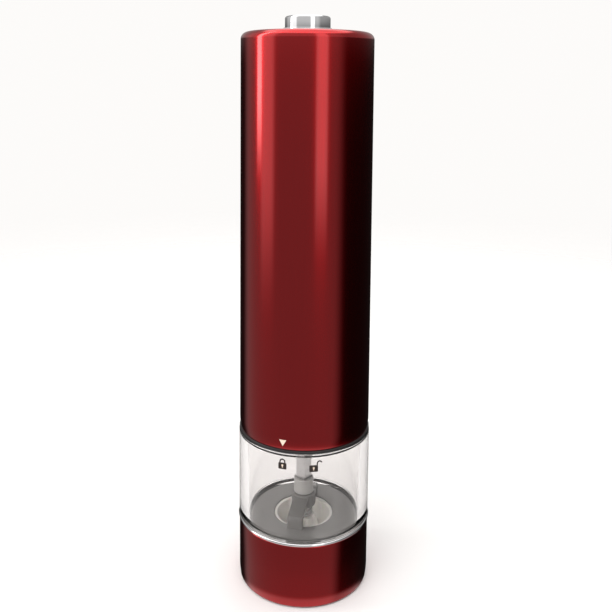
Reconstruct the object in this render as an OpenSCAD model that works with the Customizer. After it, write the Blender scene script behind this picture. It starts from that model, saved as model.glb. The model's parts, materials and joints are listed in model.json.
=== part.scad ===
// Battery pepper mill: push button on top, planetary gear motor, clear pepper chamber,
// ceramic burrs under it and a fineness knob in the foot. Millimetres, +Z up, the front is -Y.

/* [Outside] */
// Outer diameter of the red tube and base
body_d = 52; // [50:0.5:56]
// Height of the flat top of the tube above the table
shell_top = 218.7; // [217:0.1:222]
// Height of the push button's top above the table
button_top = 225; // [224:0.1:228]
// Diameter of the push button
button_d = 17.8; // [16:0.1:18]
// Thickness of the steel tube and base sleeve
steel_t = 1; // [0.6:0.1:1.2]

/* [Chamber] */
// How far the clear chamber stands out from the tube
chamber_step = 0.2; // [0:0.05:0.4]
// Wall of the clear chamber
chamber_wall = 3.7; // [3:0.1:4]
// Height where the clear wall starts
chamber_foot = 25.9; // [25.7:0.1:26.2]
// Height where the clear wall ends
chamber_top = 61; // [58:0.5:64]
// Turn between the closed and the open padlock, in degrees
lock_turn = 27; // [26:1:32]

/* [Grinder] */
// Height of the grey floor around the burrs
floor_top = 25.3; // [24.8:0.1:25.5]
// Side of the square drive shaft
shaft_side = 4.5; // [4:0.1:4.6]
// Direction of the bridge's front arm, left of the front
bridge_turn = -14; // [-40:1:40]
// Highest point of the bridge
bridge_top = 33.4; // [32:0.1:34]

/* [Gears] */
// Size of the teeth, as pitch diameter for each tooth
tooth_module = 0.5; // [0.48:0.01:0.52]
// Teeth on each sun gear
sun_teeth = 12; // [12:6:12]
// Teeth on each planet gear
planet_teeth = 18; // [18:6:18]

/* [Hidden] */
$fn = 96;
tube_r = body_d / 2;
inner_r = tube_r - steel_t;
chamber_r = tube_r + chamber_step;
bore_r = chamber_r - chamber_wall;
neck_r = 22.5;
neck_top = chamber_top + 7.5;
lip_foot = chamber_top + 0.1;
lip_top = lip_foot + 1;
sleeve_foot = lip_top + 0.05;
spindle_r = 2.5;
fit = 0.05;
orbit = tooth_module * (sun_teeth + planet_teeth) / 2;
ring_teeth = sun_teeth + 2 * planet_teeth;
unit_floor = neck_top;
pin_r = 1;
stage_z = [92, 83.6];
planet_h = 4;
motor_foot = 98.6;
motor_r = 12;
cell_r = 7.25;
cell_spot = 7.9;
cell_low = 135.65;
cell_high = 191.4;
cell_h = 50.5;
lead_x = 6.05;
shaft_turn = 52;
screw_r = 13.25;
plunger_top = 205.6;
web_foot = 209.5;
button_r = button_d / 2;
hub_r = 4;
leg_r = 14.2;
knob_foot = 0.8;
hub_in = 12.05;
bolt_r = 18;
ball_z = 11.7;
ball_r = 1.5;
spindle_foot = 13.22;
side_screw_x = 19.3;
side_screw_z = [88, 126];
tray_r = 22;
tray_foot = 132.25;
tray_top = 191.8;

// A round piece with a hole through it, standing on z
module ring(outer, inner, z, h) {
    translate([0, 0, z]) difference() {
        cylinder(r = outer, h = h);
        translate([0, 0, -1]) cylinder(r = inner, h = h + 2);
    }
}

// A plain round bar standing on z
module bar(r, z, h) {
    translate([0, 0, z]) cylinder(r = r, h = h);
}

// A box centred on the axis, standing on z
module block(x, y, z, h) {
    translate([-x / 2, -y / 2, z]) cube([x, y, h]);
}

// Points of a quarter circle, from angle a to angle b
function arc(cx, cz, r, a, b, n = 6) =
    [for (i = [0:n]) [cx + r * cos(a + (b - a) * i / n), cz + r * sin(a + (b - a) * i / n)]];

// A wire wound round the axis from z0 to z1
module coil(r, wire, z0, z1, turns, sides = 8, per_turn = 16) {
    n = turns * per_turn;
    rise = z1 - z0 - 2 * wire;
    pts = [for (i = [0:n]) for (k = [0:sides - 1])
        let (turn = 360 * i / per_turn, side = 360 * k / sides)
        [(r + wire * cos(side)) * cos(turn), (r + wire * cos(side)) * sin(turn),
         z0 + wire + rise * i / n + wire * sin(side)]];
    skin = [for (i = [0:n - 1]) for (k = [0:sides - 1])
        let (next = (k + 1) % sides)
        [i * sides + k, i * sides + next, (i + 1) * sides + next, (i + 1) * sides + k]];
    start = [[for (k = [0:sides - 1]) sides - 1 - k]];
    finish = [[for (k = [0:sides - 1]) n * sides + k]];
    polyhedron(points = pts, faces = concat(skin, start, finish));
}

// Involute helper: the angle that a tooth flank has turned through at radius r
function flank(base, r) = let (a = acos(min(1, base / r))) tan(a) * 180 / PI - a;

// Outline of a gear: tip and root are in modules, slack narrows each tooth, in millimetres
module gear_outline(teeth, tip, root, slack) {
    r = tooth_module * teeth / 2;
    base = r * cos(25);
    half = 90 / teeth - slack / r * 180 / PI + flank(base, r);
    tip_r = r + tip * tooth_module;
    root_r = r - root * tooth_module;
    start_r = max(base, root_r);
    polygon([for (k = [0:teeth - 1]) for (p = [
        [root_r, -half + flank(base, start_r)],
        [start_r, -half + flank(base, start_r)],
        [tip_r, -half + flank(base, tip_r)],
        [tip_r, half - flank(base, tip_r)],
        [start_r, half - flank(base, start_r)],
        [root_r, half - flank(base, start_r)]])
        if (root_r < base || p[0] != root_r)
        p[0] * [cos(p[1] + 360 * k / teeth), sin(p[1] + 360 * k / teeth)]]);
}

// A sun gear or motor pinion with its bore
module sun_gear(z, h, hole) {
    translate([0, 0, z]) linear_extrude(h) difference() {
        gear_outline(sun_teeth, 0.85, 1.15, 0.05);
        if (hole > 0) circle(r = hole);
    }
}

// One planet gear, turned k thirds of a turn round the sun
module planet(stage, k) {
    color("gainsboro") rotate(120 * k) translate([orbit, 0, stage_z[stage]]) rotate(180 / planet_teeth)
        linear_extrude(planet_h) difference() {
            gear_outline(planet_teeth, 0.85, 1.15, 0.05);
            circle(r = pin_r + fit);
        }
}

// ---- Base and grinder ----

// Lacquered steel sleeve round the foot of the mill
module base_sleeve() {
    foot = 0.5;
    top = chamber_foot - 1.3;
    color("firebrick") rotate_extrude() polygon(concat(
        [[inner_r, foot]], arc(tube_r - 0.5, foot + 0.5, 0.5, -90, 0, 4),
        [[tube_r, top - 0.2], [tube_r - 0.2, top], [inner_r, top]]));
}

// Moulded frame: outer wall, deck under the floor, hub round the burrs and spider for the adjuster
module base_frame() {
    wall_foot = 2.05;
    wall_top = 17.9;
    wall_in = 22.5;
    deck_foot = 15;
    hub_out = 15;
    hub_foot = 4.5;
    hub_top = 15.1;
    boss_r = 6;
    color("dimgray") {
        ring(inner_r - 0.1, wall_in, wall_foot, wall_top - wall_foot);
        difference() {
            union() {
                ring(wall_in, hub_in, deck_foot, wall_top - deck_foot);
                ring(bore_r - 0.1, hub_in, wall_top, 20.9 - wall_top);
            }
            for (k = [0:2]) rotate(120 * k + 30) translate([bolt_r, 0, 0]) bar(1.3, 10, 20);
            rotate(bridge_turn) for (s = [-1, 1]) translate([0, screw_r * s, 0]) bar(0.85, 10, 20);
        }
        difference() {
            ring(hub_out, hub_in, hub_foot, hub_top - hub_foot);
            rotate(bridge_turn) for (s = [-1, 1]) translate([0, screw_r * s, 0]) {
                bar(0.85, 3, 20);
                bar(1.7, 3, 6.6);
            }
        }
        difference() {
            union() {
                bar(boss_r, hub_foot, 5.5);
                for (k = [0:2]) rotate(120 * k + 60) translate([5, -1.5, hub_foot]) cube([8, 3, 3.5]);
            }
            bar(spindle_r + fit, 0, 20);
            block(7.2, 7.2, 6.5, 10);
        }
    }
}

// Soft ring that the mill stands on
module foot_ring() {
    color("black") rotate_extrude() polygon(concat(
        arc(24.1, 0.5, 0.5, -90, 0, 4), [[24.6, 2.05], [21.8, 2.05]], arc(22.3, 0.5, 0.5, 180, 270, 4)));
}

// Polished bead between the base and the clear chamber
module trim_ring() {
    bead_r = 0.6;
    color("silver") rotate_extrude() {
        translate([inner_r - 0.1, chamber_foot - 1.25]) square([1.1, 1.2]);
        translate([tube_r - 0.2, chamber_foot - 0.65]) circle(r = bead_r, $fn = 32);
    }
}

// Clear pepper chamber with a spigot below, a filling neck above and three locking lugs
module chamber() {
    color([0.9, 0.92, 0.94, 0.4]) {
        rotate_extrude() polygon(concat(
            [[bore_r, 18], [inner_r - 0.2, 18], [inner_r - 0.2, chamber_foot]],
            [[chamber_r - 0.3, chamber_foot], [chamber_r, chamber_foot + 0.3]],
            arc(chamber_r - 0.5, chamber_top - 0.5, 0.5, 0, 90, 4),
            [[neck_r, chamber_top], [neck_r, neck_top], [neck_r - 2.2, neck_top]],
            [[neck_r - 2.2, chamber_top - 0.5], [bore_r, chamber_top - 2.5]]));
        for (k = [0:2]) rotate(120 * k) lug(neck_r - 0.3, 23.6, chamber_top + 4.5, 1.7);
    }
}

// One locking lug, 24 degrees wide
module lug(from_r, to_r, z, h) {
    translate([0, 0, z]) rotate([0, 0, -12]) rotate_extrude(angle = 24)
        translate([from_r, 0]) square([to_r - from_r, h]);
}

// Flat gasket under the floor
module floor_seal() {
    color("black") ring(21.6, 19.9, 20.9, 0.5);
}

// Glossy grey floor of the chamber
module burr_floor() {
    lip = 0.4;
    color("gray") difference() {
        union() {
            ring(bore_r - 0.1, hub_in, 21.4, floor_top - lip - 21.4);
            ring(bore_r - 0.1, 11.8, floor_top - lip, lip);
        }
        for (k = [0:2]) rotate(120 * k + 30) translate([bolt_r, 0, 0]) bar(1.05, 15, 8.5);
        rotate(bridge_turn) for (s = [-1, 1]) translate([0, screw_r * s, 0]) bar(0.85, 10, 20);
    }
}

// Fixed ceramic burr: feed cone with lobes above, grinding cone below
module stator_burr() {
    top = floor_top - 0.42;
    color("linen") difference() {
        rotate_extrude() polygon([[12, 12.05], [12, top], [10.6, top], [8.2, 18], [9.3, 12.05]]);
        for (k = [0:7]) rotate(45 * k) translate([8.2, 0, 21.4]) rotate([0, 12, 0]) cylinder(r = 1.3, h = 8);
    }
}

// Spring ring that holds the fixed burr up in its hub
module stator_clip() {
    color("silver") difference() {
        ring(12, 9.9, 11.2, 0.8);
        translate([0, 11, 0]) block(3, 8, 11, 2);
    }
}

// Bridge over the burrs that holds the upper spindle bush
module bearing_bridge() {
    outline = concat([[0, 28.6], [0, bridge_top], [hub_r, bridge_top]],
        [[13.4, 30.6]], [[leg_r, 29.9], [leg_r, floor_top], [12.3, floor_top], [12.3, 28.6]]);
    color("gray") difference() {
        union() {
            rotate(bridge_turn - 90) for (s = [0, 180]) rotate([90, 0, s]) translate([0, 0, -2.95])
                linear_extrude(5.9) polygon(outline);
            bar(5, 28.6, 4.2);
        }
        bar(3.4, 20, 20);
        rotate(bridge_turn) for (s = [-1, 1]) translate([0, screw_r * s, 0]) bar(0.7, 20, 8.6);
    }
}

// Two screws that hold the bridge down from below
module bridge_screws() {
    color("silver") rotate(bridge_turn) for (s = [-1, 1]) translate([0, screw_r * s, 0]) {
        bar(0.65, 9.5, 18.5);
        bar(1.5, 8, 1.55);
    }
}

// Bush in the bridge that the spindle turns in
module spindle_bush() {
    color("goldenrod") {
        ring(3.38, spindle_r + fit, 28.65, 4.7);
    }
}

// Three screws through the deck into the floor
module base_screws() {
    color("silver") for (k = [0:2]) rotate(120 * k + 30) translate([bolt_r, 0, 0]) {
        bar(1, 14.9, 8);
        bar(2.2, 13.4, 1.55);
    }
}

// Spring that keeps the turning burr down on its seat
module rotor_spring() {
    color("silver") coil(3.3, 0.35, 23.75, 28.55, 4);
}

// Fineness knob under the mill
module adjuster_knob() {
    knob_r = 7.4;
    knob_h = 3.4;
    color("dimgray") difference() {
        union() {
            bar(knob_r - 0.5, knob_foot, knob_h);
            bar(knob_r, knob_foot + 0.4, knob_h - 0.8);
        }
        for (k = [0:11]) rotate(30 * k) translate([knob_r + 0.6, 0, knob_foot - 1])
            cylinder(r = 1.4, h = 6, $fn = 24);
        bar(2.02, 1.6, 6);
    }
}

// Screw that the knob turns, with the collar that stops it moving up or down
module adjuster_screw() {
    color("silver") {
        bar(2, 1.65, 3);
        bar(spindle_r, 4.3, 4.9);
        bar(3.3, 6.55, 0.65);
    }
}

// Square nut that climbs the screw and carries the ball
module thrust_nut() {
    color("goldenrod") difference() {
        block(7, 7, 7.3, 3.6);
        bar(spindle_r + fit, 7, 2.6);
        translate([0, 0, ball_z]) sphere(r = ball_r + fit);
    }
}

// Steel ball that the spindle stands on
module thrust_ball() {
    color("silver") translate([0, 0, ball_z]) sphere(r = ball_r);
}

// Turning ceramic burr
module rotor_burr() {
    color("linen") difference() {
        rotate_extrude() polygon([[0, 11.6], [8.5, 11.6], [8.5, 13], [4.6, 23.6], [0, 23.6]]);
        bar(spindle_r + 0.02, 10, 20);
        bar(3.3, 10, 4.02);
        for (k = [0:5]) rotate(60 * k) translate([6.4, -0.6, 15]) rotate([0, -20, 0]) cube([4, 1.2, 12]);
    }
}

// Steel spindle of the turning burr
module spindle_shaft() {
    color("silver") {
        bar(spindle_r, spindle_foot, 21.3);
        bar(3.2, spindle_foot, 0.78);
    }
}

// Socket on the spindle that takes the square drive shaft
module spindle_coupling() {
    color("lightgray") difference() {
        union() {
            bar(3.95, bridge_top + 0.2, 5.6);
            bar(3.65, bridge_top + 0.2, 6.1);
        }
        bar(spindle_r + 0.02, 30, 4.55);
        rotate(shaft_turn) block(shaft_side + 0.2, shaft_side + 0.2, 34.5, 10);
    }
}

// ---- Motor unit ----

// Moulded plate that closes the filling neck and carries the whole unit
module unit_base() {
    color("dimgray") difference() {
        union() {
            bar(22.3, unit_floor + 0.05, 2.95);
            ring(19.9, 17.9, unit_floor - 4, 4.1);
            bar(8, unit_floor - 2, 6.5);
        }
        bar(5.52, unit_floor - 3, 12);
    }
}

// Bronze bearing of the output shaft
module output_bearing() {
    color("goldenrod") ring(5.5, hub_r + fit, unit_floor - 1.9, 8.3);
}

// One half of the two-part housing; side is -1 in front and 1 behind
module housing_half(side) {
    foot = unit_floor + 3.05;
    top = 132.2;
    difference() {
        union() {
            ring(23.6, 21.8, foot, top - foot);
            ring(21.9, 14.55, 79.3, 1.6);
            ring(21.9, 15.3, 94.2, 1.6);
            for (z = [104, 121]) ring(21.9, motor_r + fit, z, 1.6);
            for (s = [-1, 1]) translate([side_screw_x * s, 0, 0]) bar(2.4, foot, top - foot);
        }
        translate([-40, side > 0 ? -80 : 0, 0]) cube([80, 80, 300]);
        for (s = [-1, 1]) for (z = side_screw_z) translate([side_screw_x * s, 0, z]) rotate([90, 0, 0])
            cylinder(r = 1.05, h = 60, center = true);
        for (x = [-10, 10]) translate([x, 0, 127]) block(3, 60, 0, 4);
    }
}

// Front half of the housing
module housing_front() {
    color("dimgray") housing_half(-1);
}

// Back half of the housing
module housing_back() {
    color("dimgray") housing_half(1);
}

// Four screws that draw the halves together
module housing_screws() {
    color("silver") for (s = [-1, 1]) for (z = side_screw_z)
        translate([side_screw_x * s, -8, z]) rotate([-90, 0, 0]) cylinder(r = 1, h = 12);
}

// Toothed ring that both sets of planets roll in
module ring_gear() {
    foot = 80.9;
    h = 16.3;
    color("gainsboro") translate([0, 0, foot]) linear_extrude(h) difference() {
        circle(r = 14.5);
        rotate(180 / ring_teeth) gear_outline(ring_teeth, 1.15, 0.7, -0.05);
    }
}

// Plate between the gears and the motor
module gearbox_plate() {
    color("dimgray") ring(15.2, 3.1, 97.2, 1.35);
}

// Steel can of the motor
module motor_can() {
    h = 27.5;
    color("silver") difference() {
        union() {
            bar(motor_r, motor_foot, h);
            bar(3, motor_foot - 1.5, 2);
        }
        bar(motor_r - 1, motor_foot + 1, h);
        bar(pin_r + fit, motor_foot - 3, 10);
    }
}

// Two curved magnets inside the can
module motor_magnets() {
    color("dimgray") difference() {
        ring(motor_r - 1.05, 9.6, 102, 20);
        block(6, 40, 100, 30);
    }
}

// Moulded end of the motor with its two tags
module motor_end_cap() {
    color("whitesmoke") difference() {
        union() {
            bar(motor_r - 1.05, 124.3, 1.9);
            bar(motor_r, 126.12, 1.8);
            for (s = [-1, 1]) translate([7 * s, 0, 0]) block(0.6, 2.4, 127.8, 2.8);
        }
        bar(pin_r + fit, 120, 20);
    }
}

// Iron core, windings and commutator
module armature() {
    color("chocolate") difference() {
        union() {
            bar(9.2, 106, 12);
            bar(6.5, 103.5, 17);
            bar(2.6, 120.4, 3.4);
        }
        for (k = [0:2]) rotate(120 * k) translate([7.6, -0.9, 105]) cube([4, 1.8, 14]);
        bar(pin_r + 0.01, 100, 40);
    }
}

// Motor shaft
module motor_shaft() {
    color("silver") bar(pin_r, 91.6, 36);
}

// Brass sun gear on the motor shaft
module motor_pinion() {
    color("goldenrod") sun_gear(91.6, 5, pin_r + 0.01);
}

// A round carrier plate with three pins for planets standing on it
module carrier_plate(z, thick) {
    bar(10.3, z, thick);
    for (k = [0:2]) rotate(120 * k) translate([orbit, 0, 0]) bar(pin_r, z + thick - 0.1, planet_h + 0.7);
}

// First carrier with the second sun gear under it
module first_carrier() {
    color("silver") {
        carrier_plate(89.3, 2.3);
        sun_gear(83.7, 5.7, 0);
    }
}

// Second carrier with the round part of the output shaft under it
module second_carrier() {
    color("silver") difference() {
        union() {
            carrier_plate(81.1, 2.2);
            bar(hub_r, unit_floor - 2, 14.7);
        }
        rotate(shaft_turn) block(shaft_side + 0.04, shaft_side + 0.04, unit_floor - 3, 10);
    }
}

// Square bar that carries the drive down through the pepper
module drive_shaft() {
    color("lightgray") rotate(shaft_turn) block(shaft_side, shaft_side, 35.5, unit_floor + 6 - 35.5);
}

module planet_1a() planet(0, 0);
module planet_1b() planet(0, 1);
module planet_1c() planet(0, 2);
module planet_2a() planet(1, 0);
module planet_2b() planet(1, 1);
module planet_2c() planet(1, 2);

// Holder for the four cells, with the plate that the switch sits on
module battery_tray() {
    color("black") {
        difference() {
            bar(tray_r, tray_foot, 3);
            for (side = [-1, 1]) translate([lead_x * side, 2.4, 0]) block(1.6, 7, 130, 6);
        }
        bar(tray_r, tray_top, 3);
        block(1, 30, 135, 57);
        block(30, 1, 135, 57);
        for (s = [-1, 1]) translate([0, 17 * s, 0]) block(8, 4, 135, 57);
    }
}

// One AA cell standing in the tray; up is 1 with the nub on top and -1 with it below
module cell(x, y, up) {
    body_h = cell_h - 1;
    color("darkorange") translate([cell_spot * x, cell_spot * y, up > 0 ? cell_high - cell_h : cell_low + cell_h])
        mirror([0, 0, up > 0 ? 0 : 1]) rotate_extrude() polygon([[0, 0], [cell_r - 0.4, 0], [cell_r, 0.4],
            [cell_r, body_h - 0.4], [cell_r - 0.4, body_h], [2.7, body_h], [2.7, cell_h], [0, cell_h]]);
}

module battery_1() cell(-1, -1, 1);
module battery_2() cell(1, -1, -1);
module battery_3() cell(1, 1, 1);
module battery_4() cell(-1, 1, -1);

// Four springs that press on the flat ends of the cells
module contact_springs() {
    color("silver") {
        for (p = [[-1, -1], [1, 1]]) translate([cell_spot * p[0], cell_spot * p[1], 0])
            coil(3.2, 0.3, cell_low, cell_high - cell_h - 0.02, 3);
        for (p = [[1, -1], [-1, 1]]) translate([cell_spot * p[0], cell_spot * p[1], 0])
            coil(3.2, 0.3, cell_low + cell_h + 0.02, cell_high, 3);
    }
}

// Flat metal plates that join the cells in line
module contact_plates() {
    color("silver") {
        for (s = [-1, 1]) translate([cell_spot * s, 0, 0]) {
            for (t = [-1, 1]) translate([0, cell_spot * t, 0]) {
                block(8, 8, 135.27, 0.35);
                block(8, 8, 191.42, 0.35);
            }
        }
    }
}

// Push switch on the end of the tray
module switch_body() {
    color("black") difference() {
        union() {
            block(12, 12, 194.82, 7.2);
            bar(4, 202, 1.5);
        }
        bar(2.05, 197.4, 10);
    }
}

// Sprung pin of the switch
module switch_plunger() {
    color("white") bar(2, 199.8, plunger_top - 199.8);
}

// Two insulated leads from the motor tags to the first and last contact plates
module motor_leads() {
    for (side = [-1, 1]) color(side > 0 ? "crimson" : "black") translate([lead_x * side, 0, 0]) {
        bar(0.6, 128.5, 5.8);
        translate([0, 0, 134.3]) rotate([-90, 0, 0]) cylinder(r = 0.55, h = 5);
    }
}

// ---- Outer sleeve, lock and button ----

// Black ring that twists on the neck; its spigot plugs into the tube
module lock_collar() {
    color("black") {
        ring(tube_r + 0.1, neck_r + 0.2, lip_foot, lip_top - lip_foot);
        ring(inner_r - fit, 23.85, lip_top - 0.1, 8.4);
        for (k = [0:2]) rotate(120 * k) lug(neck_r + 0.2, 24, chamber_top + 2.6, 1.7);
    }
}

// Lacquered steel tube with a rounded top edge
module outer_sleeve() {
    edge_r = 3;
    hole_r = 9.65;
    color("firebrick") rotate_extrude() polygon(concat(
        [[inner_r, sleeve_foot], [tube_r - 0.2, sleeve_foot], [tube_r, sleeve_foot + 0.2]],
        arc(tube_r - edge_r, shell_top - edge_r, edge_r, 0, 90, 10),
        [[hole_r, shell_top], [hole_r, shell_top - steel_t]],
        arc(tube_r - edge_r, shell_top - edge_r, edge_r - steel_t, 90, 0, 8)));
}

// Polished bezel that flares out on the top plate, with the web that guides the button
module button_bezel() {
    tube_out = 9.6;
    color("silver") rotate_extrude() polygon(concat(
        [[3.05, web_foot], [tube_out, web_foot], [tube_out, shell_top + 0.05], [10.7, shell_top + 0.05]],
        arc(10.9, shell_top + 1.45, 1.4, 265, 185, 5),
        [[9.3, shell_top + 1.5], [button_r + 0.1, shell_top + 1.3], [button_r + 0.1, web_foot + 1.5]],
        [[3.05, web_foot + 1.5]]));
}

// Push button with its guide skirt and stem
module push_button() {
    skirt_foot = 214.2;
    color("silver") rotate_extrude() polygon(concat(
        [[0, plunger_top + 0.05], [3, plunger_top + 0.05], [3, 217.6], [button_r - 1.2, 217.6]],
        [[button_r - 1.2, skirt_foot], [button_r, skirt_foot]],
        arc(button_r - 1.2, button_top - 1.5, 1.2, 0, 80, 6), [[0, button_top]]));
}

// Return spring of the button
module button_spring() {
    color("silver") coil(5, 0.4, web_foot + 1.55, 217.55, 4);
}

// Clip on the stem that stops the button coming out
module button_clip() {
    color("silver") ring(5, 3.02, web_foot - 0.9, 0.8);
}

base_sleeve();
base_frame();
foot_ring();
trim_ring();
chamber();
floor_seal();
burr_floor();
stator_burr();
stator_clip();
bearing_bridge();
bridge_screws();
spindle_bush();
base_screws();
rotor_spring();
adjuster_knob();
adjuster_screw();
thrust_nut();
thrust_ball();
rotor_burr();
spindle_shaft();
spindle_coupling();
unit_base();
housing_front();
housing_back();
housing_screws();
ring_gear();
gearbox_plate();
output_bearing();
motor_can();
motor_magnets();
motor_end_cap();
armature();
motor_shaft();
motor_pinion();
first_carrier();
planet_1a();
planet_1b();
planet_1c();
second_carrier();
drive_shaft();
planet_2a();
planet_2b();
planet_2c();
battery_tray();
battery_1();
battery_2();
battery_3();
battery_4();
contact_springs();
contact_plates();
switch_body();
switch_plunger();
motor_leads();
lock_collar();
outer_sleeve();
button_bezel();
push_button();
button_spring();
button_clip();
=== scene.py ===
# %% [markdown]
# # A red battery pepper mill
# The mill is a lacquered steel tube over a clear pepper chamber on a short red base. The engineering model fixes
# every size and every moving part, so this lesson only gives the pieces their final surfaces and finishes.
# The first cell loads that model as a frame. Every length below is in millimetres until it becomes a mesh.

# %% Load the frame
import json
import math

import bpy
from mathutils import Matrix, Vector


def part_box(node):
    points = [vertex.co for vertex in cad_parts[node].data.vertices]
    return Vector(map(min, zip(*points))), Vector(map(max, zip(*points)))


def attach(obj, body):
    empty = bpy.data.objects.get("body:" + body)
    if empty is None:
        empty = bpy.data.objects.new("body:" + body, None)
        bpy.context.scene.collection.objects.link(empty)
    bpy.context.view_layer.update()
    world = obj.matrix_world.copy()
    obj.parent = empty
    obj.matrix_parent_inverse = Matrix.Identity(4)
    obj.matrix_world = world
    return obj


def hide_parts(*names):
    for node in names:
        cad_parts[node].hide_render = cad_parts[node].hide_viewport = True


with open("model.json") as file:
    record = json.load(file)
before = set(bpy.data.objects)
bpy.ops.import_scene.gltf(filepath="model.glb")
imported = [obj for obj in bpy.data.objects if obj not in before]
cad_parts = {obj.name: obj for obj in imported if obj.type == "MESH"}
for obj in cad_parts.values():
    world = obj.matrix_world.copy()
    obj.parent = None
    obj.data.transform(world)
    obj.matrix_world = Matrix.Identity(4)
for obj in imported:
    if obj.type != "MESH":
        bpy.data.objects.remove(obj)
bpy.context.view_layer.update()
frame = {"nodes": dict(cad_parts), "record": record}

MM = 0.001
FINE = 256

# %% [markdown]
# ## Sizes read from the frame
# Each visible piece takes its place from the box of the part that it stands for. Reading the sizes here, once, keeps
# the looks and the engineering model together: if the tube grows, its finish and its printed marks follow.

# %% Read the sizes


def low(node):
    """The lowest corner of a node, in millimetres."""
    return Vector(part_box(node)[0]) / MM


def high(node):
    """The highest corner of a node, in millimetres."""
    return Vector(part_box(node)[1]) / MM


TUBE_R = high("outer_sleeve").x
TUBE_FOOT = low("outer_sleeve").z
TUBE_TOP = high("outer_sleeve").z
STEEL = 1.0
CHAMBER_R = high("chamber").x
CHAMBER_FOOT = high("trim_ring").z + 0.05
CHAMBER_TOP = low("lock_collar").z - 0.1
BORE_R = high("burr_floor").x + 0.1
FLOOR_TOP = high("burr_floor").z
BUTTON_R = high("push_button").x
BUTTON_TOP = high("push_button").z
BRIDGE_TOP = high("bearing_bridge").z
BRIDGE_TURN = -14
SHAFT_TURN = 52
print("tube radius", round(TUBE_R, 2), "tube from", round(TUBE_FOOT, 2), "to", round(TUBE_TOP, 2))

# %% [markdown]
# ## Shader maths that reads like maths
# A material's nodes can be wired by hand, but a long chain of Math nodes is hard to read. A small class wraps one
# output socket, and its operators add the Math nodes, so that `1 - mask * 0.3` builds the nodes it describes.
# Any other node comes from one method that first sets its options and then fills its sockets.

# %% The socket wrapper and the finish builder


class Wire:
    """One output socket whose arithmetic adds Math nodes."""

    def __init__(self, finish, socket):
        self.finish = finish
        self.socket = socket

    def math(self, operation, *others):
        return self.finish.node("ShaderNodeMath", {"operation": operation}, [self, *others])

    def __add__(self, other):
        return self.math("ADD", other)

    def __sub__(self, other):
        return self.math("SUBTRACT", other)

    def __mul__(self, other):
        return self.math("MULTIPLY", other)

    def __truediv__(self, other):
        return self.math("DIVIDE", other)

    def __rsub__(self, other):
        return self.finish.node("ShaderNodeMath", {"operation": "SUBTRACT"}, [other, self])

    __radd__ = __add__
    __rmul__ = __mul__

    def step(self, start, end):
        """0 below start, 1 above end, and a soft ramp between them."""
        options = {"interpolation_type": "SMOOTHSTEP"}
        return self.finish.node("ShaderNodeMapRange", options, [self, start, end, 0.0, 1.0])

    def between(self, start, end, soft):
        """1 from start to end, with soft edges of the given width."""
        return self.step(start - soft, start + soft) * (1 - self.step(end - soft, end + soft))


class Finish:
    """A node tree that is filled with expressions."""

    def __init__(self, tree):
        self.tree = tree
        tree.nodes.clear()

    def node(self, kind, options=None, sockets=None, out=0):
        made = self.tree.nodes.new(kind)
        for name, value in (options or {}).items():
            if name == "stops":
                self.stops(made.color_ramp, value)
            else:
                setattr(made, name, value)
        pairs = enumerate(sockets) if isinstance(sockets, list) else (sockets or {}).items()
        for name, value in pairs:
            self.plug(made.inputs[name], value)
        return Wire(self, made.outputs[out]) if made.outputs else made

    def plug(self, socket, value):
        if isinstance(value, Wire):
            self.tree.links.new(value.socket, socket)
        elif value is not None:
            socket.default_value = value

    def stops(self, ramp, stops):
        while len(ramp.elements) < len(stops):
            ramp.elements.new(1.0)
        for element, (place, colour) in zip(ramp.elements, stops):
            element.position = place
            element.color = (*colour, 1.0)

    def mix(self, factor, first, second):
        """Blend two colours."""
        options = {"data_type": "RGBA"}
        made = self.node("ShaderNodeMix", options, {0: factor, 6: first, 7: second}, out=2)
        return made

    def place(self):
        """Position on the piece, in metres."""
        return self.node("ShaderNodeTexCoord", out="Object")

    def axes(self, vector):
        """The three parts of a vector."""
        split = self.node("ShaderNodeSeparateXYZ", {}, [vector]).socket.node
        return [Wire(self, split.outputs[k]) for k in range(3)]

    def scaled(self, vector, x, y, z):
        return self.node("ShaderNodeVectorMath", {"operation": "MULTIPLY"}, [vector, (x, y, z)])

    def noise(self, vector, scale, detail=2.0, rough=0.5):
        sockets = {"Vector": vector, "Scale": scale, "Detail": detail, "Roughness": rough}
        return self.node("ShaderNodeTexNoise", {}, sockets, out="Fac")

    def bump(self, height, strength, distance):
        sockets = {"Height": height, "Strength": strength, "Distance": distance}
        return self.node("ShaderNodeBump", {}, sockets)


def rgb(red, green, blue):
    return (red, green, blue, 1.0)


def finish(name, **fixed):
    """A new material with a Principled shader; fixed values go straight onto its sockets."""
    material = bpy.data.materials.new(name)
    material.use_nodes = True
    made = Finish(material.node_tree)
    made.material = material
    made.surface = made.node("ShaderNodeBsdfPrincipled", {}, {k.replace("_", " "): v for k, v in fixed.items()})
    made.shader = made.surface.socket.node
    made.end = made.node("ShaderNodeOutputMaterial", {}, [made.surface])
    return made


def dress(made, **varying):
    """Link what changes over the surface to the Principled shader."""
    for name, value in varying.items():
        made.plug(made.shader.inputs[name.replace("_", " ")], value)
    return made.material


print("finish builder ready")

# %% [markdown]
# ## Red lacquer on brushed steel
# The tube looks red, but it is steel with a tinted lacquer over it. The metal layer glows softly where a light is
# near, and the lacquer above it adds a second, sharp reflection. A Principled shader holds both: a rough metallic
# red below and a clear coat on top. Long brush marks and faint colour drift keep the metal from looking sprayed.

# %% Red lacquer


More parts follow.
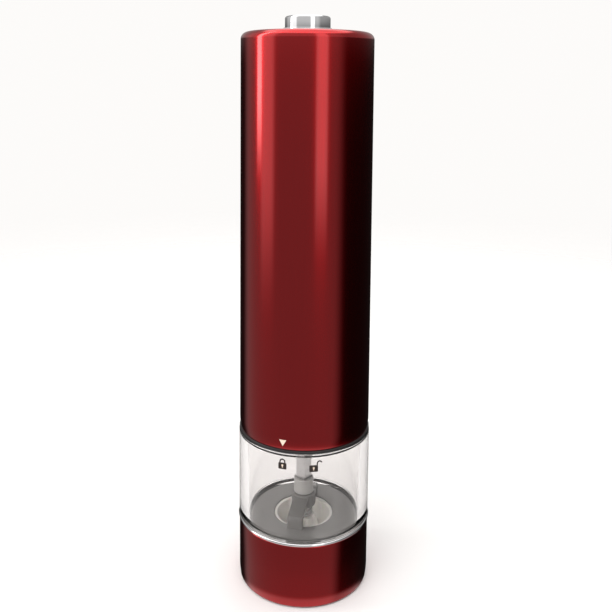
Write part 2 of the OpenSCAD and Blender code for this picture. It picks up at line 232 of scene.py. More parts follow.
def red_lacquer():
    made = finish(
        "red_lacquer", Metallic=1.0, Coat_Weight=1.0, Coat_Roughness=0.0, Coat_IOR=1.5,
    )
    place = made.place()
    brush = made.noise(made.scaled(place, 440, 440, 9), 5, 3)
    drift = made.noise(made.scaled(place, 60, 60, 12), 1, 2)
    colour = made.mix(drift, rgb(0.5, 0.004, 0.007), rgb(0.54, 0.007, 0.01))
    grained = made.mix(brush * 0.4, colour, rgb(0.36, 0.002, 0.004))
    roughness = 0.17 + brush * 0.06
    return dress(made, Base_Color=grained, Roughness=roughness, Normal=made.bump(brush, 0.05, 0.00005))


# %% [markdown]
# ## Bright metals
# Polished chrome shows its surroundings almost like a mirror. Two things stop it looking like a toy: a very slight
# haze that comes and goes, and hairline marks from handling. Brushed steel and brass use the same recipe with a
# stronger grain and their own colour.

# %% Metals


def metal(name, colour, worn, low_rough, spread, grain, lift):
    """A metal with streaky roughness; grain is the noise scale along x, y and z."""
    made = finish(name, Metallic=1.0)
    place = made.place()
    streak = made.noise(made.scaled(place, *grain), 1, 3, 0.6)
    cloud = made.noise(place, 220, 2)
    tone = made.mix(cloud, rgb(*colour), rgb(*worn))
    roughness = low_rough + streak * spread
    return dress(made, Base_Color=tone, Roughness=roughness, Normal=made.bump(streak, lift, 0.00004))


def chrome():
    return metal("bright_chrome", (0.86, 0.86, 0.87), (0.74, 0.75, 0.77), 0.03, 0.05, (300, 300, 900), 0.02)


def steel():
    return metal("steel", (0.62, 0.61, 0.6), (0.46, 0.46, 0.47), 0.2, 0.22, (900, 900, 3000), 0.12)


def brass():
    return metal("brass", (0.72, 0.5, 0.2), (0.52, 0.35, 0.13), 0.22, 0.2, (700, 700, 2600), 0.1)


# %% [markdown]
# ## Clear acrylic
# The chamber is a thick moulding, so it has to be a real solid: light bends where it enters the outside and again
# at the bore, and that is what draws the dark edges. A Principled shader with full transmission does the bending.
# Glass also blocks light in a path tracer, so shadow rays are let through and the peppercorn space stays bright.

# %% Clear acrylic


def clear_acrylic():
    made = finish("clear_acrylic", Base_Color=rgb(0.9, 0.885, 0.88), IOR=1.49, Transmission_Weight=1.0)
    place = made.place()
    flow = made.noise(made.scaled(place, 40, 40, 110), 1, 2)
    dress(made, Roughness=0.004 + flow * 0.012, Normal=made.bump(flow, 0.05, 0.0004))
    shadow = made.node("ShaderNodeLightPath", out="Is Shadow Ray")
    open_air = made.node("ShaderNodeBsdfTransparent", {}, [rgb(0.93, 0.93, 0.92)])
    both = made.node("ShaderNodeMixShader", {}, [shadow, made.surface, open_air])
    made.plug(made.end.inputs[0], both)
    return made.material


# %% [markdown]
# ## Moulded plastics and rubber
# Moulded parts share one recipe. Their colour drifts a little, their gloss is uneven where the mould was polished
# by hand, and a fine spark-eroded texture lifts the surface. Only the numbers change from the glossy floor of the
# chamber to the satin frame and the soft foot ring.

# %% Plastics


def moulded(name, colour, shade, low_rough, spread, texture, lift, **extra):
    made = finish(name, **extra)
    place = made.place()
    cloud = made.noise(place, 90, 3)
    spark = made.noise(place, texture, 2, 0.6)
    tone = made.mix(cloud, rgb(*colour), rgb(*shade))
    roughness = low_rough + cloud * spread + spark * spread * 0.5
    return dress(made, Base_Color=tone, Roughness=roughness, Normal=made.bump(spark, lift, 0.00006))


def plastics():
    """Every moulded finish, by the name of its slot."""
    return {
        "grey_plastic": moulded("grey_plastic", (0.155, 0.15, 0.146), (0.195, 0.189, 0.183), 0.1, 0.1, 1500, 0.02,
                                Coat_Weight=0.25, Coat_Roughness=0.03),
        "black_plastic": moulded("black_plastic", (0.012, 0.012, 0.013), (0.022, 0.021, 0.021), 0.3, 0.14, 3000, 0.15),
        "pale_plastic": moulded("pale_plastic", (0.42, 0.408, 0.4), (0.49, 0.477, 0.465), 0.28, 0.14, 2500, 0.08),
        "dark_grey_plastic": moulded("dark_grey_plastic", (0.06, 0.06, 0.062), (0.085, 0.084, 0.082), 0.4, 0.16,
                                     2600, 0.2),
        "gear_plastic": moulded("gear_plastic", (0.68, 0.66, 0.6), (0.76, 0.74, 0.68), 0.35, 0.12, 2600, 0.08),
        "soft_rubber": moulded("soft_rubber", (0.018, 0.018, 0.018), (0.03, 0.029, 0.028), 0.62, 0.2, 2200, 0.35),
        "lead_cover": moulded("lead_cover", (0.4, 0.02, 0.02), (0.32, 0.015, 0.015), 0.4, 0.12, 1800, 0.05),
        "magnet": moulded("magnet", (0.055, 0.055, 0.06), (0.09, 0.088, 0.085), 0.45, 0.25, 3500, 0.4),
    }


# %% [markdown]
# ## Ceramic burrs
# Burr ceramic is dense and unglazed. It is off-white with a trace of grey dust in the low places, and it lets a
# little light in at the edges. A touch of subsurface scattering gives that depth without a glaze.

# %% Ceramic


def ceramic():
    made = finish("burr_ceramic", Subsurface_Weight=0.08, Subsurface_Scale=0.002)
    place = made.place()
    cloud = made.noise(place, 160, 3)
    pits = made.noise(place, 2600, 2, 0.7)
    tone = made.mix(cloud, rgb(0.95, 0.93, 0.9), rgb(0.88, 0.85, 0.81))
    dusty = made.mix(pits.step(0.56, 0.74) * 0.35, tone, rgb(0.52, 0.46, 0.39))
    return dress(made, Base_Color=dusty, Roughness=0.4 + cloud * 0.15, Normal=made.bump(pits, 0.2, 0.00008))


# %% [markdown]
# ## Cells and windings
# The four cells are seen only when the tube is drawn off, so their jackets are simple but true: a dark lower part,
# a copper-coloured band at the plus end and bare metal at both ends. One coordinate along the cell picks the band.
# Every second cell stands upside down, so the band is mirrored about the middle of the cells.

# %% Cell jacket and copper


def cell_jacket():
    made = finish("cell_jacket", Coat_Weight=0.3)
    place = made.place()
    x, y, z = made.axes(place)
    foot = low("battery_1").z * MM
    top = high("battery_1").z * MM
    upright = (x * y).step(-0.00001, 0.00001)
    along = (z - foot) / (top - foot)
    flipped = 1 - (z - low("battery_2").z * MM) / (top - foot)
    up = upright * along + (1 - upright) * flipped
    band = up.step(0.715, 0.725)
    metal_end = up.step(0.965, 0.97) + (1 - up.step(0.008, 0.012))
    scuff = made.noise(made.scaled(place, 300, 300, 80), 2, 3)
    jacket = made.mix(band, rgb(0.014, 0.014, 0.015), rgb(0.62, 0.3, 0.09))
    tone = made.mix(metal_end.math("MINIMUM", 1.0), jacket, rgb(0.62, 0.61, 0.6))
    shine = (band + metal_end).math("MINIMUM", 1.0)
    roughness = 0.2 + scuff * 0.2
    return dress(made, Base_Color=tone, Metallic=shine, Roughness=roughness, Normal=made.bump(scuff, 0.04, 0.00005))


def winding_copper():
    made = finish("winding_copper", Metallic=1.0, Coat_Weight=0.4)
    place = made.place()
    x, y, z = made.axes(place)
    turns = (z * 9000).math("SINE")
    scuff = made.noise(place, 500, 2)
    tone = made.mix(scuff, rgb(0.55, 0.2, 0.08), rgb(0.36, 0.12, 0.05))
    return dress(made, Base_Color=tone, Roughness=0.25 + scuff * 0.15, Normal=made.bump(turns, 0.3, 0.00008))


# %% [markdown]
# ## Printing ink
# The triangle on the tube and the padlocks on the chamber are pad-printed. Ink lies slightly uneven, so both inks
# get a soft mottle and a little more gloss where the film is thick.

# %% Inks


def ink(name, colour, thin):
    made = finish(name)
    place = made.place()
    film = made.noise(place, 2400, 3, 0.6)
    tone = made.mix(film.step(0.35, 0.75), rgb(*colour), rgb(*thin))
    return dress(made, Base_Color=tone, Roughness=0.38 + film * 0.15, Normal=made.bump(film, 0.1, 0.00003))


FINISHES = plastics()
FINISHES["red_lacquer"] = red_lacquer()
FINISHES["bright_chrome"] = chrome()
FINISHES["clear_acrylic"] = clear_acrylic()
FINISHES["burr_ceramic"] = ceramic()
FINISHES["steel"] = steel()
FINISHES["brass"] = brass()
FINISHES["cell_jacket"] = cell_jacket()
FINISHES["winding_copper"] = winding_copper()
DARK_INK = ink("dark_ink", (0.018, 0.011, 0.009), (0.03, 0.02, 0.017))
PALE_INK = ink("pale_ink", (0.74, 0.62, 0.5), (0.62, 0.5, 0.4))
print("finishes:", sorted(FINISHES))

# %% [markdown]
# ## Dress the parts of the frame
# Parts whose shape is already right keep their mesh and get the finish of their slot. The record says which slot
# each part belongs to, so one loop dresses them all.

# %% Give every frame part its finish
for part in frame["record"]["subparts"]:
    mesh = frame["nodes"][part["node"]].data
    mesh.materials.clear()
    mesh.materials.append(FINISHES[part["material_slot"]])

# %% [markdown]
# ## Two ways to make a mesh
# Nearly everything on this mill is turned, so the main helper spins an outline round the axis. The outline may also
# be a function of the angle, which is how lobes, teeth and square sockets are cut without a boolean. The shaft and
# the springs are lofted along their paths by their own functions further down.

# %% Mesh helpers


def show(name, points, faces, material, node, sharp=32):
    """Turn points in millimetres into a piece that stands for a frame part."""
    mesh = bpy.data.meshes.new(name)
    mesh.from_pydata([Vector(p) * MM for p in points], [], faces)
    mesh.materials.append(material)
    mesh.validate()
    for face in mesh.polygons:
        face.use_smooth = True
    mesh.set_sharp_from_angle(angle=math.radians(sharp))
    piece = bpy.data.objects.new(name, mesh)
    bpy.context.collection.objects.link(piece)
    if node:
        stand_for(piece, node)
    return piece


def slot_of(node):
    """The material slot that the frame gives a part."""
    return next(p["material_slot"] for p in frame["record"]["subparts"] if p["node"] == node)


def stand_for(piece, node):
    """The piece replaces the frame part and rides with its body; its slot is looked up but not kept."""
    body = next(b for b, parts in frame["record"]["behaviour"]["bodies"].items() if node in parts)
    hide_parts(node)
    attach(piece, body)
    slot_of(node)


def spun(outline, steps=FINE):
    """Points and faces of a closed outline of (radius, height) spun round the axis."""
    at = outline if callable(outline) else lambda angle: outline
    count = len(at(0.0))
    points = []
    for k in range(steps):
        a = math.tau * k / steps
        points += [(r * math.cos(a), r * math.sin(a), z) for r, z in at(a)]
    faces = []
    for k in range(steps):
        here, there = k * count, (k + 1) % steps * count
        faces += [(here + i, there + i, there + (i + 1) % count, here + (i + 1) % count) for i in range(count)]
    return points, faces


def turned(name, outline, node, steps=FINE, sharp=32, material=None):
    """A piece spun round the axis. outline may be a function of the angle."""
    return show(name, *spun(outline, steps), material or FINISHES[slot_of(node)], node, sharp)


def arc(centre_r, centre_z, radius, start, end, steps=8):
    """Points along an arc in the outline plane, angles in degrees."""
    turns = [math.radians(start + (end - start) * k / steps) for k in range(steps + 1)]
    return [(centre_r + radius * math.cos(t), centre_z + radius * math.sin(t)) for t in turns]


def solid_of(outline):
    """Close an outline that touches the axis by keeping its ends a hair off it."""
    return [(max(r, 0.002), z) for r, z in outline]


print("mesh helpers ready")

# %% [markdown]
# ## The tube and the base sleeve
# Both are drawn steel tubes with 1 mm walls. The tube's upper edge is rolled over with a 3 mm radius into a flat
# top with a hole for the button. The lower edges curl in very slightly over the last few millimetres, which is
# where the long reflections bend and end. Small details like that curl are what make sheet metal look formed.

# %% Tube and base sleeve


def curl(foot, radius, reach=4.6, drop=0.32, steps=9):
    """The last millimetres of a sheet edge, curling in by drop and ending in a rounded lip."""
    shares = [k / steps for k in range(steps + 1)]
    side = [(radius - drop * (1 - share) ** 2, foot + 0.25 + (reach - 0.25) * share) for share in shares]
    lip = arc(radius - drop - 0.25, foot + 0.25, 0.25, -90, 0, 4)
    return lip[:-1] + side


def tube_outline():
    edge = 3.0
    hole = 9.65
    inner = TUBE_R - STEEL
    shoulder = TUBE_TOP - edge - 0.1
    outside = curl(TUBE_FOOT, TUBE_R) + [(TUBE_R, z) for z in (90, 120, 150, 180, 205, shoulder)]
    top = arc(TUBE_R - edge, TUBE_TOP - edge, edge, 0, 90, 14) + [(18, TUBE_TOP), (hole + 0.1, TUBE_TOP)]
    under = [(hole, TUBE_TOP - 0.1), (hole, TUBE_TOP - STEEL)]
    inside = arc(TUBE_R - edge, TUBE_TOP - edge, edge - STEEL, 90, 0, 8)
    return outside + top + under + inside + [(inner, TUBE_FOOT + 5), (inner, TUBE_FOOT)]


def base_outline():
    foot = low("base_sleeve").z
    top = high("base_sleeve").z
    inner = TUBE_R - STEEL
    lip = arc(TUBE_R - 0.3, top - 0.3, 0.3, 0, 90, 5)
    return curl(foot, TUBE_R) + [(TUBE_R, 12)] + lip + [(inner, top), (inner, foot)]


tube = turned("red_tube", tube_outline(), "outer_sleeve")
base = turned("red_base", base_outline(), "base_sleeve")
print("tube and base:", len(tube.data.polygons) + len(base.data.polygons), "faces")

# %% [markdown]
# ## Push button and bezel
# The bezel is a thin polished ring that flares out where it meets the red top, so the outline has a hollow curve.
# The button is a plain cap with a rounded rim and a top that is crowned by a tenth of a millimetre. Without that
# crown the whole top would flash white or black at once.

# %% Button and bezel


def button_outline():
    rim = 1.0
    foot = low("push_button").z
    pin_r = 3
    wall = 1.2
    skirt_foot = 214.2
    ceiling = 217.6
    side_top = 220
    crown = [(BUTTON_R * k / 8 - rim * k / 8, BUTTON_TOP - 0.18 * (k / 8) ** 2) for k in range(8, -1, -1)]
    cap = arc(BUTTON_R - rim, BUTTON_TOP - rim - 0.18, rim, 0, 90, 8)
    pin = [(0, foot), (pin_r, foot), (pin_r, ceiling)]
    skirt = [(BUTTON_R - wall, ceiling), (BUTTON_R - wall, skirt_foot), (BUTTON_R, skirt_foot), (BUTTON_R, side_top)]
    return solid_of(pin + skirt + cap[:-1] + crown)


def bezel_outline():
    foot = low("button_bezel").z
    seat = TUBE_TOP + 0.05
    flare = arc(10.9, seat + 1.4, 1.4, 262, 184, 10)
    lip = [(9.46, seat + 1.43), (9.3, seat + 1.48), (9.12, seat + 1.42), (BUTTON_R + 0.1, seat + 1.2)]
    inside = [(BUTTON_R + 0.1, foot + 1.5), (3.05, foot + 1.5), (3.05, foot), (9.6, foot), (9.6, seat)]
    return [(10.62, seat)] + flare[1:] + lip + inside


button = turned("chrome_button", button_outline(), "push_button", 128)
bezel = turned("chrome_bezel", bezel_outline(), "button_bezel", 128)
print("button top at", round(BUTTON_TOP, 2), "mm")

# %% [markdown]
# ## Clear chamber
# The chamber is spun as one thick solid: outside wall, filling neck above, bore, and a small fillet where the bore
# meets the floor. The fillet is modelled and not faked, because it catches the bright ring of light that shows
# where the wall ends. The three locking lugs on the neck are short blocks of the same moulding.

# %% Chamber and lugs
LUG_HEIGHT = 1.7
MID_WALL = 43


def chamber_outline():
    neck_r = 22.5
    throat_r = 20.3
    spigot_foot = low("chamber").z
    spigot_r = TUBE_R - STEEL - 0.2
    neck_top = high("chamber").z
    foot = [(BORE_R, spigot_foot), (spigot_r, spigot_foot), (spigot_r, CHAMBER_FOOT)]
    outside = arc(CHAMBER_R - 0.3, CHAMBER_FOOT + 0.3, 0.3, -90, 0, 4) + [(CHAMBER_R, MID_WALL)]
    shoulder = arc(CHAMBER_R - 0.5, CHAMBER_TOP - 0.5, 0.5, 0, 90, 6)
    neck = [(neck_r, CHAMBER_TOP), (neck_r, neck_top), (throat_r, neck_top), (throat_r, CHAMBER_TOP - 0.5)]
    bore = arc(BORE_R - 0.6, CHAMBER_TOP - 2.9, 0.6, 75, 0, 5) + [(BORE_R, MID_WALL), (BORE_R, FLOOR_TOP + 1.7)]
    fillet = [(BORE_R - 0.1, FLOOR_TOP + 1.1), (BORE_R - 0.35, FLOOR_TOP + 0.55), (BORE_R - 0.8, FLOOR_TOP + 0.2),
              (BORE_R - 0.95, FLOOR_TOP + 0.06), (BORE_R, FLOOR_TOP + 0.05)]
    return foot + outside + shoulder + neck + bore + fillet


def lug(middle, inner, outer, z, height, spread=12, steps=8):
    """Points and faces of one curved block on the neck."""
    points = []
    for k in range(steps + 1):
        a = math.radians(middle - spread + 2 * spread * k / steps)
        ring = ((inner, z), (outer, z), (outer, z + height), (inner, z + height))
        points += [(r * math.cos(a), r * math.sin(a), h) for r, h in ring]
    faces = [(0, 1, 2, 3), (4 * steps + 3, 4 * steps + 2, 4 * steps + 1, 4 * steps)]
    for k in range(steps):
        for i in range(4):
            j = (i + 1) % 4
            faces.append((4 * k + i, 4 * k + 4 + i, 4 * k + 4 + j, 4 * k + j))
    return points, faces


chamber = turned("clear_chamber", chamber_outline(), "chamber")
for k in range(3):
    shape = lug(120 * k, 22.52, 23.6, CHAMBER_TOP + 4.5, LUG_HEIGHT)
    block = show(f"chamber_lug_{k + 1}", *shape, FINISHES["clear_acrylic"], None)
    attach(block, "grinder_base")
print("chamber wall", round(CHAMBER_R - BORE_R, 2), "mm")

# %% [markdown]
# ## Polished ring, black ring and floor
# A round bead separates the base from the chamber, and a thin black ring separates the chamber from the tube.
# The floor is a shallow glossy disc. Its hole has a soft lip, which reads as a thin bright line round the burrs.

# %% Rings and floor


def bead_outline():
    foot = low("trim_ring").z
    top = high("trim_ring").z
    inner = TUBE_R - STEEL - 0.1
    middle = (foot + top) / 2
    radius = (top - foot) / 2
    edge = high("trim_ring").x - radius
    return [(inner, foot)] + arc(edge, middle, radius, -90, 90, 14) + [(inner, top)]


def collar_outline():
    foot = low("lock_collar").z
    top = high("lock_collar").z
    outer = high("lock_collar").x
    lip = foot + 1.0
    spigot = TUBE_R - STEEL - 0.05
    throat = 22.7
    bore = 23.85
    edge = arc(outer - 0.15, foot + 0.15, 0.15, -90, 0, 3) + arc(outer - 0.15, lip - 0.15, 0.15, 0, 90, 3)
    return edge + [(spigot, lip), (spigot, top), (bore, top), (bore, lip - 0.1), (throat, lip - 0.1), (throat, foot)]


def floor_outline():
    foot = low("burr_floor").z
    lip = 11.8
    hole = 12.05
    dish = [(BORE_R - 0.1, FLOOR_TOP - 0.05), (20, FLOOR_TOP - 0.06), (14, FLOOR_TOP - 0.04)]
    return ([(hole, foot), (BORE_R - 0.1, foot)] + dish + arc(lip + 0.3, FLOOR_TOP - 0.3, 0.3, 90, 180, 5)
            + [(lip, FLOOR_TOP - 0.4), (hole, FLOOR_TOP - 0.4)])


bead = turned("polished_bead", bead_outline(), "trim_ring")
floor_disc = turned("chamber_floor", floor_outline(), "burr_floor")
print("rings and floor made")

# %% [markdown]
# ## Locking collar
# The collar is a turned ring with three lugs inside that catch the chamber's lugs. The ring and the lugs are joined
# into one piece here, because on the real part they are one moulding.

# %% Collar


def joined(name, shapes, node, sharp=32):
    """Put several closed shapes into one piece."""
    points, faces = [], []
    for more_points, more_faces in shapes:
        start = len(points)
        points += more_points
        faces += [tuple(i + start for i in face) for face in more_faces]
    return show(name, points, faces, FINISHES[slot_of(node)], node, sharp)


lugs = [lug(120 * k, 22.72, 23.9, CHAMBER_TOP + 2.6, LUG_HEIGHT) for k in range(3)]
collar = joined("locking_collar", [spun(collar_outline())] + lugs, "lock_collar")
print("collar with", len(lugs), "lugs")

# %% [markdown]
# ## Ceramic burrs
# The fixed burr has a smooth rim, then a throat with eight broad lobes that pull peppercorns in, then fine teeth.
# The turning burr is a cone with coarse spiral flutes above fine ones. Both are turned shapes whose radius also
# swings with the angle, and the swing twists with height, which is how the spiral appears.

# %% Burrs


def fixed_burr(angle):
    top = high("stator_burr").z
    foot = low("stator_burr").z
    rows = []
    for k in range(13):
        down = k / 12
        z = top - 0.25 - (top - 0.25 - 18) * down
        radius = 10.55 - 2.2 * down
        lobe = 0.5 + 0.5 * math.cos(8 * angle + 2.2 * down)
        rows.append((radius + 1.25 * lobe ** 2 * min(1, 3 * down) * (1 - 0.75 * down), z))
    for k in range(1, 7):
        down = k / 6
        tooth = 0.22 * (0.5 + 0.5 * math.cos(32 * angle + 3 * down))
        rows.append((8.35 + 0.9 * down + tooth, 18 - (18 - foot) * down))
    rim = [(12, foot), (12, top - 0.2), (11.8, top), (10.85, top)]
    return rim + rows


def turning_burr(angle):
    foot = low("rotor_burr").z
    top = high("rotor_burr").z
    rows = [(3.3, foot), (8.3, foot), (8.5, foot + 0.3), (8.5, foot + 1.4)]
    for k in range(1, 15):
        up = k / 14
        z = foot + 1.4 + (top - foot - 1.4) * up
        wave = 0.5 + 0.5 * math.cos(6 * angle - 4.5 * up)
        fine = 0.5 + 0.5 * math.cos(36 * angle - 3 * up)
        cut = 1.5 * wave ** 3 * min(1, 2.5 * up) * (1 - 0.45 * up) + 0.25 * fine * (1 - min(1, 2.2 * up))
        rows.append((8.5 - 3.9 * up - cut, z))
    return rows + [(2.54, top), (2.54, foot + 2.4), (3.3, foot + 2.4)]


fixed = turned("fixed_burr", fixed_burr, "stator_burr", 384, 50)
turning = turned("turning_burr", turning_burr, "rotor_burr", 288, 50)
print("burr faces:", len(fixed.data.polygons), len(turning.data.polygons))

# %% [markdown]
# ## Drive shaft, coupling and bridge
# The shaft is a square bar with corners that are slightly rounded by drawing, so a loft of a rounded square gives
# each corner a thin highlight. The coupling is turned, but its bore is square. The bridge is a bent arm on each
# side of a hub, cut from one outline, extruded and then softened with a bevel as a moulding would be.

# %% Shaft, coupling, bridge


def rounded_square(side, corner, steps=4):
    """Points round a square bar, counter-clockwise."""
    half = side / 2 - corner
    points = []
    for k, (sx, sy) in enumerate(((1, 1), (-1, 1), (-1, -1), (1, -1))):
        for i in range(steps + 1):
            a = math.radians(90 * k + 90 * i / steps)
            points.append((sx * half + corner * math.cos(a), sy * half + corner * math.sin(a)))
    return points


def square_bar(side, corner, z0, z1, turn):
    """Points and faces of a square bar with a softened lower end."""
    rings = [(z0, side - 0.5), (z0 + 0.25, side), (z1, side)]
    turn = math.radians(turn)
    points = []
    for z, across in rings:
        for x, y in rounded_square(across, corner):
            points.append((x * math.cos(turn) - y * math.sin(turn), x * math.sin(turn) + y * math.cos(turn), z))
    count = len(points) // len(rings)
    faces = [tuple(range(count - 1, -1, -1)), tuple(range(2 * count, 3 * count))]
    for level in range(2):
        for i in range(count):
            j = (i + 1) % count
            faces.append((level * count + i, level * count + j, (level + 1) * count + j, (level + 1) * count + i))
    return points, faces


def coupling_outline(angle):
    foot = low("spindle_coupling").z
    top = high("spindle_coupling").z
    bore = 2.52
    turn = angle - math.radians(SHAFT_TURN)
    socket = 2.35 / max(abs(math.cos(turn)), abs(math.sin(turn)))
    skin = arc(3.95 - 0.35, top - 0.5, 0.35, 0, 90, 5)
    return ([(bore, foot), (3.75, foot), (3.95, foot + 0.2)] + skin + [(socket + 0.12, top - 0.15)]
            + [(socket, top - 0.3), (socket, foot + 0.9), (bore, foot + 0.9)])


BRIDGE_HOLE = 3.4
BRIDGE_FOOT = 28.6


def bridge_arm(side, width=5.9, bevel=0.35):
    """One bent arm with rounded edges, as points and faces."""
    profile = [(BRIDGE_HOLE, BRIDGE_FOOT), (BRIDGE_HOLE, BRIDGE_TOP - 0.6), (5.0, BRIDGE_TOP - 0.75)]
    profile += [(8, 32.0), (11, 31.1), (13.2, 30.45)]
    profile += [(13.85, 30.1), (14.15, 29.5), (14.2, 28.5), (14.2, FLOOR_TOP), (12.3, FLOOR_TOP), (12.3, 28.0)]
    profile += [(11.7, BRIDGE_FOOT)]
    turn = math.radians(BRIDGE_TURN - 90 + (180 if side > 0 else 0))
    centre_r = sum(r for r, z in profile) / len(profile)
    centre_z = sum(z for r, z in profile) / len(profile)
    layers = [(-width / 2, bevel), (-width / 2 + bevel * 0.3, bevel * 0.3), (-width / 2 + bevel, 0)]
    layers += [(-across, inset) for across, inset in reversed(layers)]
    points = []
    for across, inset in layers:
        for r, z in profile:
            shrink_r = r + inset * (1 if r < centre_r else -1)
            shrink_z = z + (inset * (1 if z < centre_z else -1) if z > FLOOR_TOP + 0.1 else 0)
            points.append((shrink_r * math.cos(turn) - across * math.sin(turn),
                           shrink_r * math.sin(turn) + across * math.cos(turn), shrink_z))
    count = len(profile)
    last = (len(layers) - 1) * count
    faces = [tuple(range(count)), tuple(range(last + count - 1, last - 1, -1))]
    for level in range(len(layers) - 1):
        for i in range(count):
            j = (i + 1) % count
            a = level * count
            faces.append((a + i, a + count + i, a + count + j, a + j))
    return points, faces


hub = [(BRIDGE_HOLE, BRIDGE_FOOT), (4.9, BRIDGE_FOOT), (4.95, BRIDGE_TOP - 0.7)]
hub = hub + arc(4.55, BRIDGE_TOP - 0.4, 0.4, 0, 90, 5) + [(BRIDGE_HOLE, BRIDGE_TOP)]
bridge = joined("bridge", [spun(hub, 96), bridge_arm(-1), bridge_arm(1)], "bearing_bridge", 28)
coupling = turned("shaft_coupling", coupling_outline, "spindle_coupling", 192)
shaft_foot = low("drive_shaft").z
shaft_top = high("drive_shaft").z
shaft = joined("square_shaft", [square_bar(4.5, 0.3, shaft_foot, shaft_top, SHAFT_TURN)], "drive_shaft", 40)
print("bridge turned", BRIDGE_TURN, "degrees; shaft from", round(shaft_foot, 1), "to", round(shaft_top, 1))

# %% [markdown]
# ## Springs
# A spring is a circle swept along a helix. The frame's springs are coarse, so these are swept again with a rounder
# wire, and their last turns are closed up as on a real compression spring.

# %% Springs


def spring(radius, wire, z0, z1, turns, at=(0, 0), sides=12, per_turn=32):
    """Points and faces of a helical spring."""
    steps = int(turns * per_turn)
    points = []
    for k in range(steps + 1):
        share = k / steps
        eased = share - math.sin(math.tau * share) / math.tau * 0.55
        height = z0 + wire + (z1 - z0 - 2 * wire) * eased
        a = math.tau * k / per_turn
        for i in range(sides):
            b = math.tau * i / sides
            r = radius + wire * math.cos(b)
            points.append((at[0] + r * math.cos(a), at[1] + r * math.sin(a), height + wire * math.sin(b)))
    faces = [tuple(range(sides - 1, -1, -1)), tuple(range(steps * sides, (steps + 1) * sides))]
    for k in range(steps):
        for i in range(sides):
            j = (i + 1) % sides
            faces.append((k * sides + i, k * sides + j, (k + 1) * sides + j, (k + 1) * sides + i))
    return points, faces


def spring_for(name, node, radius, wire, turns):
    return joined(name, [spring(radius, wire, low(node).z, high(node).z, turns)], node, 60)


spring_for("burr_spring", "rotor_spring", 3.3, 0.35, 4)
spring_for("return_spring", "button_spring", 5.0, 0.4, 4)
print("springs swept")

# %% [markdown]
# ## Printed marks
# A triangle on the tube points at a closed padlock on the chamber; an open padlock shows where it unlocks. The marks
# are drawn flat as small outlines and then wrapped round the wall: the distance across becomes an angle. They are
# thin closed films, so they also export as real shapes.

# %% Marks


def wrap(across, z, radius, middle):
    """A point on the wall; middle is the mark's direction in degrees from the front."""
    a = math.radians(middle) + across / radius
    return (radius * math.sin(a), -radius * math.cos(a), z)


def film(strips, radius, middle, foot, thick=0.05):
    """Closed thin film from quads of (across, up) corners."""
    points, faces = [], []
    for strip in strips:
        start = len(points)
        count = len(strip)
        for depth in (-0.02, thick):
            points += [wrap(x, foot + y, radius + depth, middle) for x, y in strip]
        faces.append(tuple(start + i for i in reversed(range(count))))
        faces.append(tuple(start + count + i for i in range(count)))
        for i in range(count):
            j = (i + 1) % count
            faces.append((start + i, start + j, start + count + j, start + count + i))
    return points, faces


def shackle(centre, foot, radius, width, start, end, steps=12):
    """A bent bar as quads, from one angle to another."""
    quads = []
    for k in range(steps):
        a = math.radians(start + (end - start) * k / steps)
        b = math.radians(start + (end - start) * (k + 1) / steps)
        inner, outer = radius - width / 2, radius + width / 2
        quads.append([(centre + outer * math.cos(a), foot + outer * math.sin(a)),
                      (centre + outer * math.cos(b), foot + outer * math.sin(b)),
                      (centre + inner * math.cos(b), foot + inner * math.sin(b)),
                      (centre + inner * math.cos(a), foot + inner * math.sin(a))])
    return quads


def lock_body(width, height, corner=0.35, steps=4):
    """A rounded rectangle standing on zero, as one outline."""
    points = []
    for k, (sx, y) in enumerate(((1, height - corner), (-1, height - corner), (-1, corner), (1, corner))):
        for i in range(steps + 1):
            a = math.radians(90 * k + 90 * i / steps)
            points.append((sx * (width / 2 - corner) + corner * math.cos(a), y + corner * math.sin(a)))
    return points


def bar_between(x0, x1, y0, y1):
    return [(x0, y0), (x1, y0), (x1, y1), (x0, y1)]


def mark(name, shapes, radius, middle, foot, material, body, thick=0.05):
    piece = show(name, *film(shapes, radius, middle, foot, thick), material, None, 60)
    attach(piece, body)
    return piece


TRIANGLE_AT = -18
CLOSED_AT = -18
OPEN_AT = 8
keyhole = [[(0.38 * math.cos(math.tau * k / 14), 1.5 + 0.38 * math.sin(math.tau * k / 14)) for k in range(14)],
           bar_between(-0.17, 0.17, 0.65, 1.45)]
closed_lock = [lock_body(3.2, 2.5)] + shackle(0, 2.9, 0.95, 0.5, 0, 180)
closed_lock += [bar_between(-1.2, -0.7, 2.3, 2.95), bar_between(0.7, 1.2, 2.3, 2.95)]
open_lock = [lock_body(3.3, 2.6)] + shackle(2.2, 3.25, 0.85, 0.48, 15, 180) + [bar_between(1.11, 1.59, 2.3, 3.3)]
mark("triangle_mark", [[(-1.38, 2.4), (0, 0), (1.38, 2.4)]], TUBE_R, TRIANGLE_AT, TUBE_FOOT + 1.5, PALE_INK, "sleeve")
mark("closed_lock_mark", closed_lock, CHAMBER_R, CLOSED_AT, 54.8, DARK_INK, "grinder_base")
mark("closed_keyhole_mark", keyhole, CHAMBER_R, CLOSED_AT, 54.8, PALE_INK, "grinder_base", 0.08)
mark("open_lock_mark", open_lock, CHAMBER_R, OPEN_AT, 54.3, DARK_INK, "grinder_base")
mark("open_keyhole_mark", keyhole, CHAMBER_R, OPEN_AT, 54.3, PALE_INK, "grinder_base", 0.08)
print("marks printed")

# %% [markdown]
# ## Floor
# The mill stands on a plain pale floor. The floor only has to carry a soft contact shadow, so it is one large
# sheet with a faint mottle. It is kept out of mirror reflections, because the surroundings below already hold
# the light that a table would throw up on the lacquer.

# %% Floor


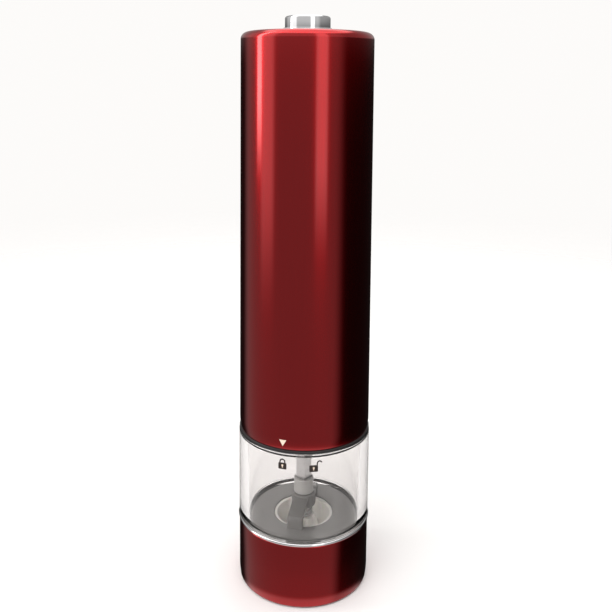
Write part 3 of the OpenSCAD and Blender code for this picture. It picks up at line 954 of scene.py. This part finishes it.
def floor_finish():
    made = finish("pale_floor", Specular_IOR_Level=0.2)
    place = made.place()
    cloud = made.noise(place, 3, 2)
    tone = made.mix(cloud, rgb(0.63, 0.626, 0.622), rgb(0.65, 0.646, 0.642))
    x, y, z = made.axes(place)
    away = (x * x + y * y).math("SQRT")
    return dress(made, Base_Color=tone, Roughness=0.6 + cloud * 0.1, Alpha=1 - away.step(0.25, 0.9))


reach = 1000
corners = [(-reach, -reach, 0), (reach, -reach, 0), (reach, reach, 0), (-reach, reach, 0)]
ground = show("ground", corners, [(0, 1, 2, 3)], floor_finish(), None)
ground.visible_glossy = False
print("floor laid")

# %% [markdown]
# ## Surroundings
# A shiny cylinder is a picture of the room around it. The world shader lights the mill like a small studio and
# paints its lights by direction: an azimuth from the front and an elevation. There is a tall window on the left, a
# softbox on the right, a low fill in front, a pale table below, and soft light above and behind. Every ray sees the
# same lights, except that the camera itself sees only a plain pale backdrop.

# %% World light


def surroundings():
    world = bpy.data.worlds.new("studio")
    bpy.context.scene.world = world
    world.use_nodes = True
    sky = Finish(world.node_tree)
    direction = sky.node("ShaderNodeTexCoord", out="Generated")
    x, y, z = sky.axes(direction)
    side = x.math("ARCTAN2", y * -1) * (180 / math.pi)
    lift = z.math("ARCSINE") * (180 / math.pi)

    def strip(start, end, soft, bottom, top, fade, power):
        return side.between(start, end, soft) * lift.between(bottom, top, fade) * power

    def lower(top, fade):
        """1 well below an elevation and 0 above it."""
        return 1 - lift.step(top - fade, top + fade)

    window = strip(-93, -83, 2, -4, 55, 4, 5.0) + strip(-83, -58, 5, -12, 62, 6, 0.7)
    softbox = strip(15, 35, 3, -10, 45, 4, 1.0)
    fill = strip(-125, 60, 12, -90, 90, 1, 0.27)
    table = lower(-40, 3) * 0.5
    canopy = lift.between(5, 60, 4) * 0.35
    behind = (1 - side.between(-168, 168, 3)) * lift.between(-60, 60, 6) * 0.8
    overhead = lift.between(48, 95, 5) * 1.6 + 0.008
    total = window + softbox + fill + table + canopy + behind + overhead
    seen = sky.node("ShaderNodeLightPath", out="Is Camera Ray")
    backdrop = 0.98
    shade = seen * backdrop + (1 - seen) * total
    light = sky.node("ShaderNodeBackground", {}, [rgb(1, 0.985, 0.97), shade])
    sky.node("ShaderNodeOutputWorld", {}, [light])
    return world


surroundings()
print("surroundings painted")

# %% [markdown]
# ## Lamps
# The painted surroundings shape the reflections, but matt parts need more light than they give. Two large area
# lamps add it from the front left and from above. They are hidden from mirror reflections, so the lacquer shows
# only the painted lights.

# %% Lamps


def lamp(name, place, size, power):
    data = bpy.data.lights.new(name, "AREA")
    data.size = size
    data.energy = power
    made = bpy.data.objects.new(name, data)
    made.location = place
    made.rotation_euler = (Vector((0, 0, 0.08)) - Vector(place)).to_track_quat("-Z", "Y").to_euler()
    made.visible_glossy = False
    made.visible_transmission = False
    bpy.context.collection.objects.link(made)
    return made


lamp("front_lamp", (-0.7, -0.9, 0.9), 0.9, 10)
lamp("top_lamp", (0.15, 0.1, 1.4), 1.0, 9)
print("lamps set")

# %% [markdown]
# ## Camera
# The camera stands close to the mill, a little below the height of its top, and looks down by five degrees. Close
# standing is what makes the rings open more towards the table. The picture is then shifted down, as a view camera
# does, so that the whole mill is in frame and the sides stay nearly parallel.

# %% Camera
DISTANCE = 303.0
EYE_HEIGHT = 200.2
PITCH = 5.04
LEAN = -0.5
ASIDE = -0.5
SENSOR = 36.0
LENS = 45.46
SHIFT_DOWN = -0.258
data = bpy.data.cameras.new("camera")
data.sensor_width = SENSOR
data.lens = LENS
data.shift_y = SHIFT_DOWN
camera = bpy.data.objects.new("camera", data)
camera.location = (ASIDE * MM, -DISTANCE * MM, EYE_HEIGHT * MM)
camera.rotation_euler = (math.radians(90 - PITCH), math.radians(LEAN), 0)
bpy.context.collection.objects.link(camera)
bpy.context.scene.camera = camera
bpy.context.scene.view_settings.view_transform = "Standard"
print("camera", DISTANCE, "mm away")
